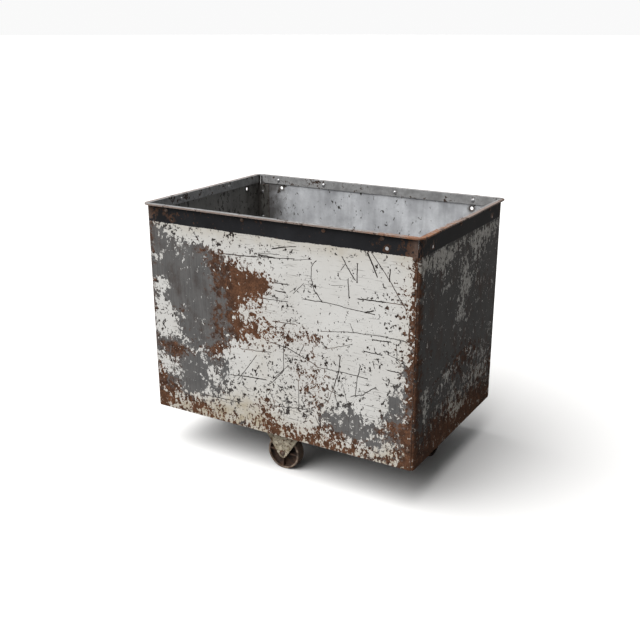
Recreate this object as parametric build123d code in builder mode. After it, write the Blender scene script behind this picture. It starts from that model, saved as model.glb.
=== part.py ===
"""Riveted sheet-steel rolling bin: an open-top box on two rigid and two swivel casters.

Frame: X along the long side, Y from front (-) to back (+), Z up.
The origin is on the ground, under the centre of the box.
"""
from build123d import *
import os

# ---- driving dimensions, mm ------------------------------------------------
box_length = 762.0          # outside of the end panels, 30 in
box_depth = 511.0           # outside of the long panels, about 20 in
box_height = 558.0          # bottom edge of the walls to the top of the rim, 22 in
ground_gap = 108.5          # ground to the bottom edge of the walls
sheet = 2.0                 # thickness of every panel
bend_radius = 6.0           # outside radius of a folded corner

# rim angle
rim_thickness = 3.5
rim_overhang = 9.5          # how far the rim stands out past the panels
rim_leg_thickness = 3.0
rim_leg_depth = 23.0        # full height of the angle
rim_corner_radius = 22.0
rim_long_leg_half = 365.0   # the long legs stop short of the corners
rim_long_leg_round = 10.0
rim_end_leg_half = 246.0

# end panel flanges, folded in behind the long panels
flange_reach = 36.0
flange_low_notch = 17.5     # above the bottom edge, clears the floor pan
flange_high_notch = 28.5    # below the rim top, clears the rim leg

# seam rivets: one row up each vertical seam
seam_inset = 14.0           # row to the outside of the end panel
seam_pitch = 76.2           # 3 in
seam_first = 50.8           # 2 in above the bottom edge
seam_count = 7
seam_head_radius = 4.8
seam_head_height = 2.4
seam_tail_radius = 4.2
seam_tail_height = 1.8
seam_shank_radius = 2.4

# rim rivets
rim_rivet_drop = 12.5       # below the rim top
rim_front_spots = (-317.0, -85.0, 140.0, 288.0)
rim_back_spots = (-309.0, -154.0, 75.0, 303.0)
rim_left_spots = (-120.0, 96.0)
rim_right_spots = (-28.0, 165.0)
rim_head_radius = 5.4
rim_head_height = 2.8
rim_shank_radius = 2.7

# accessory holes near the top corners
accessory_radius = 4.5
accessory_drop = 34.0       # below the rim top
accessory_long_x = 300.0
accessory_end_y = 187.0

# floor pan and runners
floor_rise = 15.5           # bottom edge of the walls to the top of the floor sheet
pan_corner_cut = 7.0
runner_thickness = 6.0
long_runner_half = 374.0
long_runner_width = 90.0
cross_runner_width = 104.0
cross_runner_end = 250.0

# wheels and their bearings
wheel_radius = 46.0
wheel_width = 28.0
rim_wall = 5.5
rim_edge_round = 1.6
web_thickness = 5.0
rib_thickness = 4.5
rib_setback = 1.5
rib_count = 4
rib_tilt = -4.0
hub_radius = 14.0
hub_length = 29.0
bush_outer = 8.5
axle_radius = 6.0
running_gap = 0.05
washer_radius = 11.0
washer_thickness = 0.6

# caster brackets and forks
fork_gap = 31.0             # between the legs
leg_thickness = 3.0
leg_foot_radius = 13.5
leg_bend_round = 2.5
plate_thickness = 4.0
plate_corner = 8.0
rigid_x = 2.0
rigid_inset = 46.5          # face of the box to the wheel's centre plane
rigid_leg_width = 92.0
rigid_leg_skirt = 18.0      # straight part below the bottom edge of the walls
rigid_plate_size = (104.0, 76.0)
rigid_bolts = (40.0, 28.0)  # half spacings
swivel_x = 296.0
swivel_trail = 42.0
swivel_plate_size = (96.0, 84.0)
swivel_bolts = (36.0, 30.0)
crown_thickness = 4.0
crown_drop = 16.0           # top face of the plate to the top face of the crown
crown_tail = 24.0           # crown behind the kingpin
crown_nose = 36.0           # crown ahead of it
crown_skirt = 10.0          # shortest height of the fork's sides

# kingpin and ball race
kingpin_radius = 6.0
kingpin_gap = 0.08
kingpin_head_radius = 10.0
kingpin_head_height = 4.7
kingpin_head_gap = 0.4
race_radius = 23.0
race_thickness = 3.0
cup_radius = 28.5
cup_wall = 2.0
cup_thickness = 3.0
cup_skirt = 5.0
ball_radius = 2.7
ball_pitch_radius = 18.5
ball_count = 16

# fasteners
bolt_radius = 4.0
bolt_clearance = 0.2
bolt_head_radius = 9.0
bolt_head_height = 3.8
bolt_tail = 1.4
nut_flats = 13.0
nut_thickness = 6.5
bolt_washer_radius = 8.0
bolt_washer_thickness = 1.6
axle_head_radius = 8.0
axle_head_height = 4.0
axle_tail = 2.0
axle_nut_flats = 19.0
axle_nut_thickness = 6.0

# ---- worked-out levels and places ------------------------------------------
half_length = box_length / 2
half_depth = box_depth / 2
top = ground_gap + box_height
sheet_top = top - rim_thickness
floor_top = ground_gap + floor_rise
runner_top = floor_top - sheet
mount_level = runner_top - runner_thickness
plate_bottom = mount_level - plate_thickness
crown_top = mount_level - crown_drop
crown_bottom = crown_top - crown_thickness
race_top = crown_top + race_thickness
rigid_y = half_depth - rigid_inset
fork_half = fork_gap / 2
fork_outside = fork_half + leg_thickness
seam_x = half_length - seam_inset
seam_levels = [ground_gap + seam_first + seam_pitch * step for step in range(seam_count)]
rim_rivet_level = top - rim_rivet_drop
accessory_level = top - accessory_drop

front_face = Plane(origin=(0, -half_depth, 0), x_dir=(1, 0, 0), z_dir=(0, -1, 0))
back_face = Plane(origin=(0, half_depth, 0), x_dir=(-1, 0, 0), z_dir=(0, 1, 0))
left_face = Plane(origin=(-half_length, 0, 0), x_dir=(0, -1, 0), z_dir=(-1, 0, 0))
right_face = Plane(origin=(half_length, 0, 0), x_dir=(0, 1, 0), z_dir=(1, 0, 0))
long_faces = {"front": (front_face, rim_front_spots), "back": (back_face, rim_back_spots)}
end_faces = {"left": (left_face, rim_left_spots), "right": (right_face, rim_right_spots)}
all_faces = {**long_faces, **end_faces}

os.makedirs("parts", exist_ok=True)


def write(piece, name):
    """Label a finished piece and write it under its own name."""
    piece.label = name
    export_step(piece, f"parts/{name}.step")


def face_spots(face, places, level):
    """Planes on a wall and square to it, at places given along the row's own X or Y."""
    sign = face.x_dir.X + face.x_dir.Y
    return [Plane(origin=face.from_local_coords((sign * place, level, 0)),
                  x_dir=face.x_dir, z_dir=face.z_dir) for place in places]


def seam_spots(face, place):
    """Planes on a wall, one at each rivet of the seam at this place."""
    return [face_spots(face, (place,), level)[0] for level in seam_levels]


def rivet(head_radius, head_height, tail_radius, tail_height, shank_radius, grip):
    """A solid rivet: its head sits on Z = 0 and its shank runs down through the grip."""
    with BuildPart() as body:
        with BuildSketch(Plane.XZ):
            with BuildLine():
                crown = Spline((0, head_height), (head_radius, 0), tangents=((1, 0), (0.25, -1)))
                Polyline(crown @ 1, (shank_radius, 0), (shank_radius, -grip), (tail_radius, -grip))
                tail = Spline((tail_radius, -grip), (0, -grip - tail_height),
                              tangents=((-0.25, -1), (-1, 0)))
                Line(tail @ 1, crown @ 0)
            make_face()
        revolve(axis=Axis.Z)
    return body.part


# ---- long panels: flat sheets over the end panels' flanges -------------------
long_holes = (-accessory_long_x, accessory_long_x)
for side, (face, rim_spots) in long_faces.items():
    with BuildPart() as long_panel:
        with BuildSketch(face):
            with Locations((0, (ground_gap + sheet_top) / 2)):
                Rectangle(box_length - 2 * bend_radius, sheet_top - ground_gap)
        extrude(amount=-sheet)
        with Locations(*seam_spots(face, -seam_x), *seam_spots(face, seam_x)):
            Hole(seam_shank_radius, depth=sheet)
        with Locations(*face_spots(face, rim_spots, rim_rivet_level)):
            Hole(rim_shank_radius, depth=sheet)
        with Locations(*face_spots(face, long_holes, accessory_level)):
            Hole(accessory_radius, depth=sheet)
    write(long_panel.part, f"{side}_panel")

# ---- end panels: folded round the corners, flanges behind the long panels ----
end_holes = (-accessory_end_y, accessory_end_y)
flange_y = half_depth - sheet          # outside of the flanges
flange_end_x = half_length - flange_reach
fold_x = half_length - bend_radius     # where the fold starts
for side, (face, rim_spots) in end_faces.items():
    outward = face.z_dir.X
    with BuildPart() as end_panel:
        with BuildSketch(Plane.XY.offset(ground_gap)):
            RectangleRounded(box_length, 2 * flange_y, bend_radius)
            RectangleRounded(box_length - 2 * sheet, 2 * (flange_y - sheet), bend_radius - sheet,
                             mode=Mode.SUBTRACT)
            with Locations((outward * (flange_end_x + half_length) / 2, 0)):
                Rectangle(flange_reach, box_depth, mode=Mode.INTERSECT)
        extrude(amount=sheet_top - ground_gap)
        for level, notch in ((ground_gap, flange_low_notch), (top, -flange_high_notch)):
            with BuildSketch(Plane.XY.offset(level)):
                with Locations((outward * (flange_end_x + fold_x) / 2, 0)):
                    Rectangle(fold_x - flange_end_x, box_depth)
            extrude(amount=notch, mode=Mode.SUBTRACT)
        for long_face in (front_face, back_face):
            with Locations(*seam_spots(long_face.offset(-sheet), outward * seam_x)):
                Hole(seam_shank_radius, depth=sheet)
        with Locations(*face_spots(face, rim_spots, rim_rivet_level)):
            Hole(rim_shank_radius, depth=sheet)
        with Locations(*face_spots(face, end_holes, accessory_level)):
            Hole(accessory_radius, depth=sheet)
    write(end_panel.part, f"{side}_end_panel")

# ---- rim: four lengths of angle, mitred and welded at the corners -------------
rim_x = half_length + rim_overhang
rim_y = half_depth + rim_overhang
leg_face_x = half_length - sheet - rim_leg_thickness
leg_face_y = half_depth - sheet - rim_leg_thickness
leg_drop = rim_leg_depth - rim_thickness
for side, (face, rim_spots) in all_faces.items():
    outward = face.z_dir.X + face.z_dir.Y
    if side in long_faces:
        leg_half = rim_long_leg_half
        mitre = [(-leg_face_x, outward * leg_face_y), (leg_face_x, outward * leg_face_y),
                 (rim_x, outward * rim_y), (-rim_x, outward * rim_y)]
    else:
        leg_half = rim_end_leg_half
        mitre = [(outward * leg_face_x, -leg_face_y), (outward * leg_face_x, leg_face_y),
                 (outward * rim_x, rim_y), (outward * rim_x, -rim_y)]
    with BuildPart() as rim_angle:
        with BuildSketch(Plane.XY.offset(sheet_top)):
            RectangleRounded(2 * rim_x, 2 * rim_y, rim_corner_radius)
            Polygon(*mitre, align=None, mode=Mode.INTERSECT)
        extrude(amount=rim_thickness)
        with BuildSketch(face.offset(-sheet)) as leg:
            with Locations((0, sheet_top - leg_drop / 2)):
                Rectangle(2 * leg_half, leg_drop)
            if side in long_faces:
                fillet(leg.vertices().group_by(Axis.Y)[0], rim_long_leg_round)
        extrude(amount=-rim_leg_thickness)
        with Locations(*face_spots(face.offset(-sheet), rim_spots, rim_rivet_level)):
            Hole(rim_shank_radius, depth=rim_leg_thickness)
    write(rim_angle.part, f"rim_{side}")

# ---- rivets --------------------------------------------------------------------
rim_rivet = rivet(rim_head_radius, rim_head_height, rim_head_radius, rim_head_height,
                  rim_shank_radius, sheet + rim_leg_thickness)
with BuildPart() as rim_rivets:
    for face, rim_spots in all_faces.values():
        with Locations(*face_spots(face, rim_spots, rim_rivet_level)):
            add(rim_rivet)
write(rim_rivets.part, "rim_rivets")

seam_rivet = rivet(seam_head_radius, seam_head_height, seam_tail_radius, seam_tail_height,
                   seam_shank_radius, 2 * sheet)
for side, (face, rim_spots) in long_faces.items():
    for end, seam_at in (("left", -seam_x), ("right", seam_x)):
        with BuildPart() as seam_rivets:
            with Locations(*seam_spots(face, seam_at)):
                add(seam_rivet)
        write(seam_rivets.part, f"seam_rivets_{side}_{end}")

# ---- caster seats: local X is the rolling direction, local Z is up --------------
rigid_seats = {
    "front": Plane(origin=(rigid_x, -rigid_y, 0), x_dir=(1, 0, 0), z_dir=(0, 0, 1)),
    "back": Plane(origin=(rigid_x, rigid_y, 0), x_dir=(-1, 0, 0), z_dir=(0, 0, 1)),
}
swivel_seats = {
    "left": Plane(origin=(-swivel_x, 0, 0), x_dir=(0, -1, 0), z_dir=(0, 0, 1)),
    "right": Plane(origin=(swivel_x, 0, 0), x_dir=(0, 1, 0), z_dir=(0, 0, 1)),
}
bolt_places = [Plane(origin=seat.from_local_coords((x, y, 0)), z_dir=(0, 0, 1))
               for seats, (reach_x, reach_y) in ((rigid_seats, rigid_bolts),
                                                 (swivel_seats, swivel_bolts))
               for seat in seats.values()
               for x in (-reach_x, reach_x)
               for y in (-reach_y, reach_y)]
bolt_hole = bolt_radius + bolt_clearance

# ---- floor pan: a flat sheet with its edges turned down --------------------------
pan_length = box_length - 2 * sheet
pan_depth = box_depth - 2 * sheet
with BuildPart() as floor_pan:
    for shrink, rise, mode in ((0, floor_rise, Mode.ADD),
                               (2 * sheet, floor_rise - sheet, Mode.SUBTRACT)):
        with BuildSketch(Plane.XY.offset(ground_gap)) as outline:
            Rectangle(pan_length - shrink, pan_depth - shrink)
            chamfer(outline.vertices(), pan_corner_cut)
        extrude(amount=rise, mode=mode)
    with Locations(*[place.offset(floor_top) for place in bolt_places]):
        Hole(bolt_hole, depth=sheet)
write(floor_pan.part, "floor_pan")

# ---- runners: flat bars under the floor that carry the casters --------------------
runner_side = long_runner_width / 2
cross_length = cross_runner_end - runner_side
cross_middle = (cross_runner_end + runner_side) / 2
runner_plans = {
    "long_runner": (0, 0, 2 * long_runner_half, long_runner_width),
    "cross_runner_front": (rigid_x, -cross_middle, cross_runner_width, cross_length),
    "cross_runner_back": (rigid_x, cross_middle, cross_runner_width, cross_length),
}
for name, (x, y, length, width) in runner_plans.items():
    own_bolts = [place.offset(runner_top) for place in bolt_places
                 if abs(place.origin.X - x) < length / 2 and abs(place.origin.Y - y) < width / 2]
    with BuildPart() as runner:
        with BuildSketch(Plane.XY.offset(mount_level)):
            with Locations((x, y)):
                Rectangle(length, width)
        extrude(amount=runner_thickness)
        with Locations(*own_bolts):
            Hole(bolt_hole, depth=runner_thickness)
    write(runner.part, name)

# ---- caster bolts: round heads inside the bin, washers and nuts underneath ---------
washer_bottom = plate_bottom - bolt_washer_thickness
nut_bottom = washer_bottom - nut_thickness
bolt_end = nut_bottom - bolt_tail - floor_top
with BuildPart() as bolt:
    with BuildSketch(Plane.XZ):
        with BuildLine():
            dome = Spline((0, bolt_head_height), (bolt_head_radius, 0), tangents=((1, 0), (0.3, -1)))
            Polyline(dome @ 1, (bolt_radius, 0), (bolt_radius, bolt_end), (0, bolt_end), dome @ 0)
        make_face()
    revolve(axis=Axis.Z)
with BuildPart() as caster_bolts:
    with Locations(*[place.offset(floor_top) for place in bolt_places]):
        add(bolt.part)
write(caster_bolts.part, "caster_bolts")

with BuildPart() as caster_nuts:
    for place in bolt_places:
        with BuildSketch(place.offset(nut_bottom)):
            RegularPolygon(nut_flats / 2, 6, major_radius=False)
            Circle(bolt_radius, mode=Mode.SUBTRACT)
    extrude(amount=nut_thickness)
write(caster_nuts.part, "caster_nuts")

with BuildPart() as caster_washers:
    for place in bolt_places:
        with BuildSketch(place.offset(washer_bottom)):
            Circle(bolt_washer_radius)
            Circle(bolt_hole, mode=Mode.SUBTRACT)
    extrude(amount=bolt_washer_thickness)
write(caster_washers.part, "caster_washers")


def side_plane(seat, across):
    """A plane square to a caster's axle, with X along the roll and Y up."""
    return Plane(origin=seat.from_local_coords((0, across, 0)), x_dir=seat.x_dir, z_dir=-seat.y_dir)


def axle_section(seat, trail, height):
    """A plane through the middle of the axle, with X along the axle and Y up."""
    return Plane(origin=seat.from_local_coords((trail, 0, height)), x_dir=seat.y_dir, z_dir=seat.x_dir)


def write_wheel_set(seat, trail, name):
    """Axle, nut, thrust washers, bush and wheel of one caster."""
    section = axle_section(seat, trail, wheel_radius)
    axle_line = Axis(section.origin, seat.y_dir)
    with BuildPart() as axle:
        with BuildSketch(side_plane(seat, -fork_outside)):
            with Locations((trail, wheel_radius)):
                Circle(axle_radius)
        extrude(amount=-(2 * fork_outside + axle_nut_thickness + axle_tail))
        with BuildSketch(section):
            with BuildLine():
                head = Spline((-fork_outside - axle_head_height, 0), (-fork_outside, axle_head_radius),
                              tangents=((0, 1), (1, 0.25)))
                Polyline(head @ 1, (-fork_outside, 0), head @ 0)
            make_face()
        revolve(axis=axle_line)
    write(axle.part, f"axle_{name}")

    with BuildPart() as axle_nut:
        with BuildSketch(side_plane(seat, fork_outside)):
            with Locations((trail, wheel_radius)):
                RegularPolygon(axle_nut_flats / 2, 6, major_radius=False)
                Circle(axle_radius, mode=Mode.SUBTRACT)
        extrude(amount=-axle_nut_thickness)
    write(axle_nut.part, f"axle_nut_{name}")

    with BuildPart() as axle_washers:
        for across in (-fork_half + washer_thickness, fork_half):
            with BuildSketch(side_plane(seat, across)):
                with Locations((trail, wheel_radius)):
                    Circle(washer_radius)
                    Circle(axle_radius + running_gap, mode=Mode.SUBTRACT)
        extrude(amount=washer_thickness)
    write(axle_washers.part, f"axle_washers_{name}")

    with BuildPart() as bush:
        with BuildSketch(side_plane(seat, 0)):
            with Locations((trail, wheel_radius)):
                Circle(bush_outer)
                Circle(axle_radius + running_gap, mode=Mode.SUBTRACT)
        extrude(amount=hub_length / 2, both=True)
    write(bush.part, f"bush_{name}")

    rim_inner = wheel_radius - rim_wall
    spoke_span = rim_inner - hub_radius
    with BuildPart() as wheel:
        with BuildSketch(section):
            with Locations((0, (bush_outer + hub_radius) / 2)):
                Rectangle(hub_length, hub_radius - bush_outer)
            with Locations((0, (hub_radius + rim_inner) / 2)):
                Rectangle(web_thickness, spoke_span)
            with Locations((0, (rim_inner + wheel_radius) / 2)):
                Rectangle(wheel_width, rim_wall)
        revolve(axis=axle_line)
        tread_edges = wheel.edges().filter_by(GeomType.CIRCLE).sort_by(lambda edge: edge.radius)[-2:]
        fillet(tread_edges, rim_edge_round)
        with BuildSketch(side_plane(seat, 0)):
            with Locations((trail, wheel_radius)):
                with PolarLocations((hub_radius + rim_inner) / 2, rib_count, start_angle=rib_tilt):
                    Rectangle(spoke_span + rib_setback, rib_thickness)
        extrude(amount=wheel_width / 2 - rib_setback, both=True)
    write(wheel.part, f"wheel_{name}")


def write_plate(seat, size, bolt_reach, centre_hole, name):
    """A caster's rectangular top plate, with its four bolt holes."""
    with BuildPart() as plate:
        with BuildSketch(seat.offset(plate_bottom)):
            RectangleRounded(*size, plate_corner)
            with GridLocations(2 * bolt_reach[0], 2 * bolt_reach[1], 2, 2):
                Circle(bolt_hole, mode=Mode.SUBTRACT)
            if centre_hole:
                Circle(centre_hole, mode=Mode.SUBTRACT)
        extrude(amount=plate_thickness)
    write(plate.part, name)


def fork_body(seat, trail, crown_level, middle, length, side_height):
    """A folded steel fork: two tapered sides joined by a flat crown."""
    with BuildPart() as folded:
        with BuildSketch(side_plane(seat, -fork_outside)):
            with Locations((middle, crown_level - side_height / 2)):
                Rectangle(length, side_height)
            with Locations((trail, wheel_radius)):
                Circle(leg_foot_radius)
            make_hull()
            with Locations((trail, wheel_radius)):
                Circle(axle_radius, mode=Mode.SUBTRACT)
        extrude(amount=-2 * fork_outside)
        with BuildSketch(side_plane(seat, -fork_half)):
            with Locations((middle, (crown_level - crown_thickness) / 2)):
                Rectangle(2 * length, crown_level - crown_thickness)
        extrude(amount=-fork_gap, mode=Mode.SUBTRACT)
        crown_edges = folded.edges().filter_by(Axis(seat.origin, seat.x_dir)).group_by(Axis.Z)[-1]
        fillet(crown_edges, leg_bend_round)
    return folded.part


# ---- rigid casters, in the middle of the long sides -----------------------------------
rigid_side_height = plate_bottom - ground_gap + rigid_leg_skirt
for name, seat in rigid_seats.items():
    write_plate(seat, rigid_plate_size, rigid_bolts, None, f"rigid_plate_{name}")
    write(fork_body(seat, 0, plate_bottom, 0, rigid_leg_width, rigid_side_height), f"bracket_{name}")
    write_wheel_set(seat, 0, name)

# ---- swivel casters, in the middle of the ends ------------------------------------------
for name, seat in swivel_seats.items():
    write_plate(seat, swivel_plate_size, swivel_bolts, kingpin_radius, f"swivel_plate_{name}")

    with BuildPart() as cup:
        with BuildSketch(seat.offset(plate_bottom)):
            Circle(cup_radius)
            Circle(kingpin_radius, mode=Mode.SUBTRACT)
        extrude(amount=-cup_thickness)
        with BuildSketch(seat.offset(plate_bottom - cup_thickness)):
            Circle(cup_radius)
            Circle(cup_radius - cup_wall, mode=Mode.SUBTRACT)
        extrude(amount=-cup_skirt)
    write(cup.part, f"race_cup_{name}")

    with BuildPart() as kingpin:
        with BuildSketch(seat.offset(mount_level)):
            Circle(kingpin_radius)
        extrude(amount=-(mount_level - crown_bottom + kingpin_head_gap))
        with BuildSketch(seat.offset(crown_bottom - kingpin_head_gap)):
            Circle(kingpin_head_radius)
        extrude(amount=-kingpin_head_height)
    write(kingpin.part, f"kingpin_{name}")

    with BuildPart() as balls:
        with Locations(seat.offset(race_top + ball_radius)):
            with PolarLocations(ball_pitch_radius, ball_count):
                Sphere(ball_radius)
    write(balls.part, f"race_balls_{name}")

    crown_middle = (crown_nose - crown_tail) / 2
    sides = fork_body(seat, swivel_trail, crown_top, crown_middle, crown_nose + crown_tail, crown_skirt)
    with BuildPart() as fork:
        add(sides)
        with BuildSketch(seat.offset(crown_top)):
            Circle(race_radius)
        extrude(amount=race_thickness)
        with BuildSketch(seat.offset(crown_bottom)):
            Circle(kingpin_radius + kingpin_gap)
        extrude(amount=race_top - crown_bottom, mode=Mode.SUBTRACT)
    write(fork.part, f"fork_{name}")
    write_wheel_set(seat, swivel_trail, name)
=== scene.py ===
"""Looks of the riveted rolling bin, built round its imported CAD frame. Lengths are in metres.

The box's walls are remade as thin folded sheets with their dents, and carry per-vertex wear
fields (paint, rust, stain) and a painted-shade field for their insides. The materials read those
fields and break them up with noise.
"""
import math

import bmesh
import bpy
import numpy as np
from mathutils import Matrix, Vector, geometry, noise


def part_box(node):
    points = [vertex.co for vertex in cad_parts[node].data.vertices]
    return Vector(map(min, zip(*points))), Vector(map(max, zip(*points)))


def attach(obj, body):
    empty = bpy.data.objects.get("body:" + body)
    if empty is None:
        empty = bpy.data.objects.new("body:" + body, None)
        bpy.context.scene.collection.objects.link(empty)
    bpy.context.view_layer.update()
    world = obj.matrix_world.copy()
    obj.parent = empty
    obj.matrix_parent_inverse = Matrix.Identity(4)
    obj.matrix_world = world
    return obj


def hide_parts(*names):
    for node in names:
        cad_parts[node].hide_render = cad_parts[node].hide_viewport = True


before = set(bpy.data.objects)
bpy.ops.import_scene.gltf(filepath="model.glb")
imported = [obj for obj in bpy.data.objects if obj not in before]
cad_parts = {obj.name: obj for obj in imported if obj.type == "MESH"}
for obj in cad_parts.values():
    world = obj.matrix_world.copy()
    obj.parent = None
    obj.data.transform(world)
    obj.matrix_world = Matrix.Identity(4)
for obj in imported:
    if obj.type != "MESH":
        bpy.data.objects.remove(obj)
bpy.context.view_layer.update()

mm = 0.001

# ---- places read from the frame ------------------------------------------------
front_low, front_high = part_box("front_panel")
right_low, right_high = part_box("right_end_panel")
rim_low, rim_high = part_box("rim_front")
wall_bottom = front_low.z
wall_top = front_high.z
rim_top = rim_high.z
half_length = right_high.x
half_depth = -front_low.y
sheet = front_high.y - front_low.y
fold_radius = half_length - front_high.x
flange_y = half_depth - sheet
flange_end = right_low.x
band_bottom = wall_bottom + 512 * mm          # lower edge of the dark painted band


def islands(node):
    """Centre of each separate solid in a CAD node."""
    mesh = bmesh.new()
    mesh.from_mesh(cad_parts[node].data)
    bmesh.ops.remove_doubles(mesh, verts=mesh.verts, dist=1e-6)
    mesh.verts.index_update()
    centres, seen = [], set()
    for start in mesh.verts:
        if start.index in seen:
            continue
        queue, low, high = [start], start.co.copy(), start.co.copy()
        seen.add(start.index)
        while queue:
            vert = queue.pop()
            for axis in range(3):
                low[axis] = min(low[axis], vert.co[axis])
                high[axis] = max(high[axis], vert.co[axis])
            for edge in vert.link_edges:
                other = edge.other_vert(vert)
                if other.index not in seen:
                    seen.add(other.index)
                    queue.append(other)
        centres.append((low + high) / 2)
    mesh.free()
    return centres


# ---- wear fields: soft ellipses placed on a wall, in millimetres -----------------
# (along, up from the wall's bottom edge, reach along, reach up, strength, tilt in degrees if any)

FRONT_PAINT = [
    # the big bare patch and its arms
    (-232, 335, 92, 118, -1.5), (-300, 392, 70, 22, -1.3, 2), (-262, 448, 92, 17, -1.1, -4),
    (-186, 420, 52, 22, -0.5), (-362, 476, 22, 27, -1.0), (-205, 240, 62, 52, -1.0),
    (-335, 300, 55, 160, -0.95), (-338, 318, 26, 9, -0.5), (-345, 390, 28, 10, -0.5),
    (-172, 330, 34, 100, -0.8), (-262, 482, 100, 22, -0.22),
    # the patch below it
    (-238, 165, 80, 25, -1.2), (-250, 122, 42, 44, -1.2), (-163, 152, 25, 28, -1.1),
    (-285, 84, 62, 22, -1.0), (-315, 172, 34, 22, -0.9), (-212, 96, 40, 18, -0.6),
    (-360, 182, 20, 12, -0.8), (-268, 205, 42, 18, -1.2), (-352, 390, 30, 8, -0.6),
    # white islands left standing along the left side
    (-352, 424, 26, 15, 1.0), (-350, 354, 32, 22, 1.3), (-312, 350, 12, 9, 1.0),
    (-340, 284, 34, 30, 1.3), (-300, 268, 22, 9, 1.1, 20), (-330, 224, 40, 24, 1.3),
    (-285, 206, 18, 8, 0.8), (-352, 132, 33, 34, 0.8), (-272, 424, 12, 13, 1.0),
    (-236, 432, 9, 17, 1.0), (-192, 140, 20, 15, 1.0), (-180, 182, 27, 9, 1.0, -15),
    (-240, 176, 10, 7, 1.1), (-290, 152, 16, 8, 0.7), (-222, 92, 22, 14, 0.8),
    # the rust patch, its column and the clusters below
    (-92, 384, 64, 34, -1.5), (-36, 404, 28, 26, -0.85), (-118, 330, 17, 56, -0.95),
    (-66, 268, 40, 25, -0.82), (-58, 322, 38, 22, -0.30), (15, 278, 48, 14, -0.55),
    (95, 278, 52, 13, -0.5), (118, 293, 8, 6, -0.8), (-118, 258, 20, 22, -0.5),
    # flecks through the middle and along the bottom
    (112, 170, 44, 66, -0.4), (60, 195, 36, 18, -0.3), (-26, 58, 24, 40, -0.72), (28, 102, 9, 12, -0.5),
    (25, 18, 70, 16, -0.36), (110, 26, 66, 18, -0.5), (-235, 28, 66, 17, -0.95),
    (-355, 62, 36, 58, -0.75), (-140, 118, 90, 40, -0.2), (0, 60, 390, 60, -0.15), (0, 3, 400, 5, -0.9),
    (30, 150, 190, 100, -0.08), (-200, 12, 150, 9, 0.3), (60, 30, 330, 24, -0.10),
    (-60, 120, 90, 50, 0.18),
    # the scoured corner at lower right
    (232, 96, 96, 34, -0.62), (190, 60, 60, 30, -0.45), (338, 112, 40, 56, -0.95, 12),
    (335, 172, 17, 32, -1.2, -12), (286, 40, 96, 34, -0.55), (238, 118, 22, 24, -0.4),
    (272, 122, 22, 14, 0.7), (355, 128, 10, 22, 0.9), (300, 138, 12, 8, 0.6),
    # bare strips down both vertical edges
    (382, 330, 15, 330, -1.4), (370, 90, 22, 100, -0.7), (-384, 280, 13, 330, -1.1),
    (362, 300, 10, 50, -0.35), (358, 440, 12, 50, -0.3), (330, 238, 24, 6, -0.35),
    (190, 440, 170, 60, 0.4), (220, 330, 140, 60, 0.35), (300, 190, 60, 30, 0.3),
]
FRONT_RUST = [
    (-72, 392, 62, 38, 1.0), (-38, 404, 34, 34, 0.9), (-104, 320, 15, 70, 0.85),
    (-112, 420, 30, 9, 0.45, -20), (-60, 268, 54, 44, 0.9), (60, 282, 120, 26, 0.9),
    (-58, 325, 50, 30, 0.8), (-376, 280, 14, 320, 0.55), (374, 300, 20, 330, 1.1),
    (0, 6, 400, 26, 0.75), (-28, 62, 44, 46, 0.9), (325, 88, 46, 36, 0.62), (112, 168, 56, 72, 0.85),
    (-312, 172, 34, 24, 0.7), (-236, 26, 76, 28, 0.9), (-168, 282, 8, 62, 1.0),
    (-310, 536, 90, 16, 0.9), (-172, 204, 44, 8, 0.9, 12), (-345, 66, 46, 62, 0.7),
    (-290, 285, 26, 14, 0.5, -20), (-215, 385, 50, 6, 0.25, -15), (110, 30, 90, 34, 0.8),
    (-200, 455, 90, 10, 0.4), (330, 420, 40, 80, 0.5), (-160, 432, 34, 14, 0.12),
    (260, 12, 120, 14, 0.5), (130, 536, 60, 10, 0.5), (-60, 532, 34, 12, 0.8), (330, 530, 60, 16, 0.8),
]
FRONT_STAIN = [
    (-98, 34, 74, 44, 1.0), (-210, 10, 170, 13, 1.0), (120, 8, 240, 9, 0.8), (-32, 190, 26, 52, 0.35),
    (-300, 507, 110, 5, 0.5), (240, 509, 130, 4, 0.45), (-20, 510, 120, 3, 0.3),
    (60, 80, 150, 60, 0.28), (-260, 40, 90, 22, 0.6), (330, 40, 60, 60, 0.5), (-60, 300, 60, 60, 0.22),
    (360, 300, 22, 220, 0.4), (190, 508, 26, 12, 0.4),
]
# where small chips crowd together
FRONT_CHIPS = [
    (-60, 260, 130, 70, 0.7), (-130, 130, 150, 70, 0.4), (110, 160, 80, 110, 0.6),
    (0, 90, 200, 60, 0.4), (330, 360, 60, 130, 0.9), (345, 200, 30, 110, 0.6),
    (-250, 470, 140, 30, 0.6), (-10, 400, 60, 30, 0.6), (200, 100, 160, 70, 0.6),
    (-330, 240, 60, 230, 0.8), (60, 285, 160, 30, 0.7), (250, 270, 110, 26, 0.3),
    (0, 240, 400, 260, 0.2), (235, 215, 90, 55, -0.45), (180, 350, 110, 50, -0.3),
]
BACK_CHIPS = [
    (180, 260, 170, 150, 0.5), (-200, 120, 170, 90, 0.5), (-60, 400, 120, 40, 0.3),
    (0, 40, 390, 60, 0.4),
]
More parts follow.
